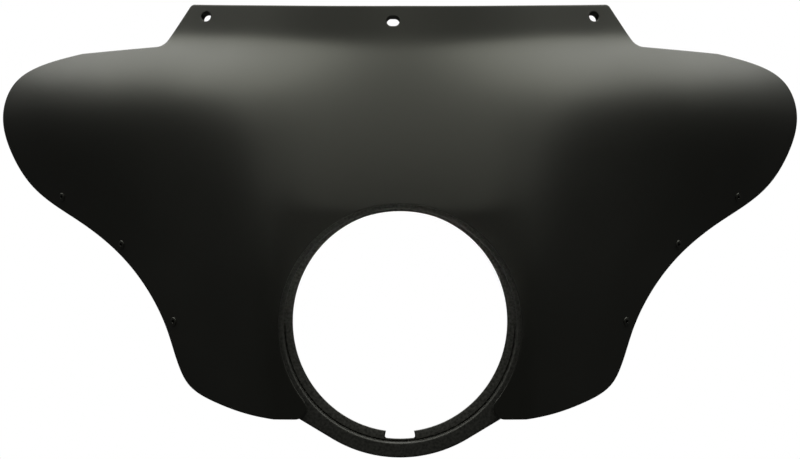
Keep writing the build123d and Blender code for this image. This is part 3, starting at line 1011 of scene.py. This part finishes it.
class FAIRING_OT_deflector_bosses(bpy.types.Operator):
    """Builds the bosses for the wind deflectors' screws, with their low buttons"""

    bl_idname = "fairing.deflector_bosses"
    bl_label = "Deflector bosses"

    def execute(self, context):
        scene = context.scene
        screws = scene.fairing_screws
        wall = scene.fairing_panel.wall
        back = -wall - screws.boss_length
        rim = 0.00015
        profile = [
            (0, -screws.pilot_depth),
            (screws.pilot_radius, -screws.pilot_depth),
            (screws.pilot_radius, screws.button_height - rim),
            (screws.pilot_radius + rim, screws.button_height),
            (screws.button_top - rim, screws.button_height),
            (screws.button_top + rim, screws.button_height - rim),
            (screws.button_radius, screws.button_edge),
            (screws.button_radius, -wall / 2),
            (screws.boss_radius, -wall / 2),
            (screws.boss_radius, back + 2 * rim),
            (screws.boss_radius - 2 * rim, back),
            (0, back),
        ]
        shape = bmesh.new()
        corners = [shape.verts.new((radius, 0, height)) for radius, height in profile]
        edges = [shape.edges.new(pair) for pair in zip(corners, corners[1:])]
        bmesh.ops.spin(
            shape,
            geom=corners + edges,
            axis=(0, 0, 1),
            cent=(0, 0, 0),
            steps=32,
            angle=2 * math.pi,
            use_merge=True,
        )
        bmesh.ops.remove_doubles(shape, verts=shape.verts, dist=1e-6)
        bmesh.ops.recalc_face_normals(shape, faces=shape.faces)
        mesh = bpy.data.meshes.new("one_boss")
        shape.to_mesh(mesh)
        shape.free()
        one = bpy.data.objects.new("one_boss", mesh)
        scene.collection.objects.link(one)
        places = [(x, 0, z) for x, z in boss_places(screws)]
        bosses = add_mesh("deflector_bosses", places, [])
        material = plastic_material("satin_black_plastic", scene.fairing_plastic)
        tree = boss_tree(scene.fairing_panel, bpy.data.node_groups["Panel depth"])
        bake(bosses, tree, {**form_values(scene.fairing_panel), "Material": material, "Boss": one})
        bpy.data.objects.remove(one)
        finish_piece(bosses, material, sharp=30)
        return {"FINISHED"}


class FAIRING_OT_stage(bpy.types.Operator):
    """Builds the floor, the lamps, the world and the camera"""

    bl_idname = "fairing.stage"
    bl_label = "Stage"

    def execute(self, context):
        scene = context.scene
        setup = scene.fairing_stage
        half = setup.floor_size / 2
        level = cad_low.z - setup.floor_drop
        corners = [(-half, -half, level), (half, -half, level), (half, half, level), (-half, half, level)]
        floor = add_mesh("studio_floor", corners, [(0, 1, 2, 3)])
        pale = bpy.data.materials.new("pale_floor")
        pale.use_nodes = True
        pale.node_tree.nodes.clear()
        rule = Rule(pale.node_tree)
        plain = rule.node("ShaderNodeBsdfDiffuse", {"Color": setup.floor_colour}).outputs[0]
        bounce = rule.node("ShaderNodeBsdfDiffuse", {"Color": setup.floor_bounce}).outputs[0]
        rule.node("ShaderNodeOutputMaterial", {"Surface": rule.camera_switch(bounce, plain)})
        floor.data.materials.append(pale)

        world = bpy.data.worlds.new("white_studio")
        scene.world = world
        world.use_nodes = True
        world.node_tree.nodes.clear()
        rule = Rule(world.node_tree)
        fill = rule.node("ShaderNodeBackground", {"Color": (1, 1, 1, 1), "Strength": setup.fill}).outputs[0]
        white = rule.node("ShaderNodeBackground", {"Color": (1, 1, 1, 1), "Strength": 1.0}).outputs[0]
        rule.node("ShaderNodeOutputWorld", {"Surface": rule.camera_switch(fill, white)})

        self.add_lamp(
            "overhead_lamp", place=(0, 0.8, 1.7), aim=(0, 0.8, 0), size=(4.4, 3.0), power=setup.top_power
        )
        self.add_lamp(
            "front_lamp", place=(0, -2.3, 2.2), aim=(0, 0, 0.1), size=(1.6, 1.2), power=setup.front_power
        )
        self.add_lamp(
            "low_lamp",
            place=(0, -0.69, -0.46),
            aim=(0, 0, 0.115),
            size=(0.5, 0.12),
            power=setup.low_power,
            spread=math.radians(9),
        )

        data = bpy.data.cameras.new("front_camera")
        data.sensor_width = 36
        data.lens = setup.focal_length
        camera = bpy.data.objects.new("front_camera", data)
        camera.location = (0, -setup.camera_distance, setup.camera_height)
        camera.rotation_euler = (math.pi / 2, 0, 0)
        scene.collection.objects.link(camera)
        scene.camera = camera
        scene.view_settings.view_transform = "Standard"
        return {"FINISHED"}

    def add_lamp(self, name, place, aim, size, power, spread=math.pi):
        light = bpy.data.lights.new(name, "AREA")
        light.shape = "RECTANGLE"
        light.size, light.size_y = size
        light.energy = power
        light.spread = spread
        lamp = bpy.data.objects.new(name, light)
        lamp.location = place
        lamp.visible_camera = False
        lamp.rotation_euler = (Vector(aim) - Vector(place)).to_track_quat("-Z", "Y").to_euler()
        bpy.context.scene.collection.objects.link(lamp)


class FAIRING_PT_sidebar(bpy.types.Panel):
    """Lists the fairing's operators"""

    bl_idname = "FAIRING_PT_sidebar"
    bl_label = "Fairing shell"
    bl_space_type = "VIEW_3D"
    bl_region_type = "UI"
    bl_category = "Fairing"

    def draw(self, context):
        for operator in operators:
            self.layout.operator(operator.bl_idname)


groups = {
    "fairing_panel": PanelForm,
    "fairing_outline": OutlineForm,
    "fairing_lamp": LampForm,
    "fairing_screws": ScrewForm,
    "fairing_plastic": PlasticFinish,
    "fairing_grained": GrainedFinish,
    "fairing_stage": StageSetup,
}
operators = [
    FAIRING_OT_panel,
    FAIRING_OT_lamp_socket,
    FAIRING_OT_chin,
    FAIRING_OT_deflector_bosses,
    FAIRING_OT_stage,
]


def register():
    for group in groups.values():
        bpy.utils.register_class(group)
    for name, group in groups.items():
        setattr(bpy.types.Scene, name, bpy.props.PointerProperty(type=group))
    for item in [*operators, FAIRING_PT_sidebar]:
        bpy.utils.register_class(item)


def unregister():
    for item in [FAIRING_PT_sidebar, *reversed(operators)]:
        bpy.utils.unregister_class(item)
    for name in groups:
        delattr(bpy.types.Scene, name)
    for group in groups.values():
        bpy.utils.unregister_class(group)


def main():
    register()
    bpy.ops.fairing.panel()
    bpy.ops.fairing.lamp_socket()
    bpy.ops.fairing.chin()
    bpy.ops.fairing.deflector_bosses()
    bpy.ops.fairing.stage()


if __name__ == "__main__":
    main()
